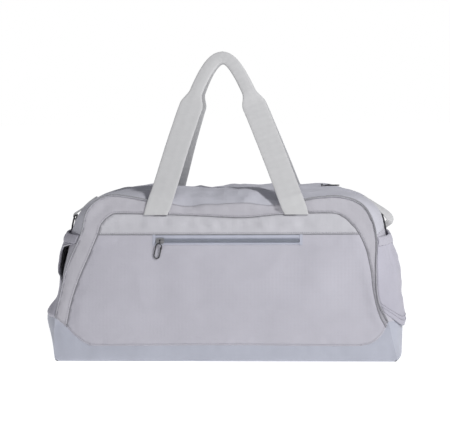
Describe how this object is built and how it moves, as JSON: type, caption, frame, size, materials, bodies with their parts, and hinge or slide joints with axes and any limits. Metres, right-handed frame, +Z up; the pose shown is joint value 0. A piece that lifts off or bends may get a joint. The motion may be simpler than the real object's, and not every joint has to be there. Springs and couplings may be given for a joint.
{
  "type": "duffel bag",
  "caption": "Soft box-shaped sports duffel with carry handles meeting over a zipped top, a zipped front pocket, open end pockets and strap rings.",
  "frame": {"origin": "middle of the base, on the surface the bag stands on", "axes": "+X along the bag to the right seen from the front, -Y towards the front with the zipped pocket, +Z up"},
  "size_m": [0.588, 0.26, 0.485],
  "materials": {
    "shell_fabric": "fine plain-weave polyester, matt",
    "coated_base": "coated fabric, slight sheen",
    "webbing": "ribbed flat webbing",
    "piping": "piping of the shell fabric",
    "elastic": "elastic binding",
    "zip_tape": "woven zip tape",
    "coil": "nylon coil",
    "zip_metal": "plated zinc",
    "dark_metal": "gunmetal plating",
    "lining": "thin lining",
    "board": "stiff sheet"
  },
  "bodies": {
    "bag": {"back_border": "shell_fabric", "back_panel": "shell_fabric", "back_piping": "piping", "base_board": "board", "base_cap": "coated_base", "front_border": "shell_fabric", "front_panel": "shell_fabric", "front_piping": "piping", "front_yoke": "shell_fabric", "left_end_panel": "shell_fabric", "left_pocket_band": "elastic", "left_side_pocket": "shell_fabric", "left_strap_loop": "webbing", "left_top_end": "shell_fabric", "left_zip_end_chains": "coil", "left_zip_end_tapes": "zip_tape", "pocket_bag": "lining", "pocket_zip_lower_chain": "coil", "pocket_zip_tapes": "zip_tape", "pocket_zip_upper_chain": "coil", "right_end_panel": "shell_fabric", "right_pocket_band": "elastic", "right_side_pocket": "shell_fabric", "right_strap_loop": "webbing", "right_top_end": "shell_fabric", "right_zip_end_chains": "coil", "right_zip_end_tapes": "zip_tape"},
    "front_flap": {"front_flap": "shell_fabric", "front_main_tape": "zip_tape", "front_main_chain": "coil"},
    "back_flap": {"back_flap": "shell_fabric", "back_main_tape": "zip_tape", "back_main_chain": "coil"},
    "main_slider": {"main_slider": "zip_metal"},
    "main_puller": {"main_puller": "dark_metal"},
    "pocket_slider": {"pocket_slider": "zip_metal"},
    "pocket_puller": {"pocket_puller": "dark_metal"},
    "front_handle": {"front_handle_webbing": "webbing", "front_handle_grip": "webbing"},
    "back_handle": {"back_handle_webbing": "webbing", "back_handle_grip": "webbing"},
    "right_ring": {"right_d_ring": "dark_metal"},
    "left_ring": {"left_d_ring": "dark_metal"}
  },
  "joints": [
    {"name": "front_flap_open", "type": "hinge", "parent": "bag", "child": "front_flap", "pos_m": [0, -0.0974, 0.25519], "axis": [1, 0, 0], "range_deg": [0, 45]},
    {"name": "back_flap_open", "type": "hinge", "parent": "bag", "child": "back_flap", "pos_m": [0, 0.0974, 0.25519], "axis": [-1, 0, 0], "range_deg": [0, 45]},
    {"name": "main_zip_slide", "type": "slide", "parent": "bag", "child": "main_slider", "axis": [-1, 0, 0], "range_m": [0, 0.309]},
    {"name": "main_puller_swing", "type": "hinge", "parent": "main_slider", "child": "main_puller", "pos_m": [0.1545, 0, 0.2692], "axis": [0, -1, 0], "range_deg": [0, 160]},
    {"name": "pocket_zip_slide", "type": "slide", "parent": "bag", "child": "pocket_slider", "axis": [1, 0, 0], "range_m": [0, 0.212]},
    {"name": "pocket_puller_swing", "type": "hinge", "parent": "pocket_slider", "child": "pocket_puller", "pos_m": [-0.102, -0.1125, 0.18884], "axis": [-1, 0, 0], "range_deg": [0, 110]},
    {"name": "front_handle_swing", "type": "hinge", "parent": "bag", "child": "front_handle", "pos_m": [0, -0.10522, 0.231], "axis": [1, 0, 0], "range_deg": [0, 140]},
    {"name": "back_handle_swing", "type": "hinge", "parent": "bag", "child": "back_handle", "pos_m": [0, 0.10522, 0.231], "axis": [-1, 0, 0], "range_deg": [0, 140]},
    {"name": "right_ring_swing", "type": "hinge", "parent": "bag", "child": "right_ring", "pos_m": [0.2525, 0, 0.2205], "axis": [0, -1, 0], "range_deg": [0, 120]},
    {"name": "left_ring_swing", "type": "hinge", "parent": "bag", "child": "left_ring", "pos_m": [-0.2525, 0, 0.2205], "axis": [0, 1, 0], "range_deg": [0, 120]}
  ]
}
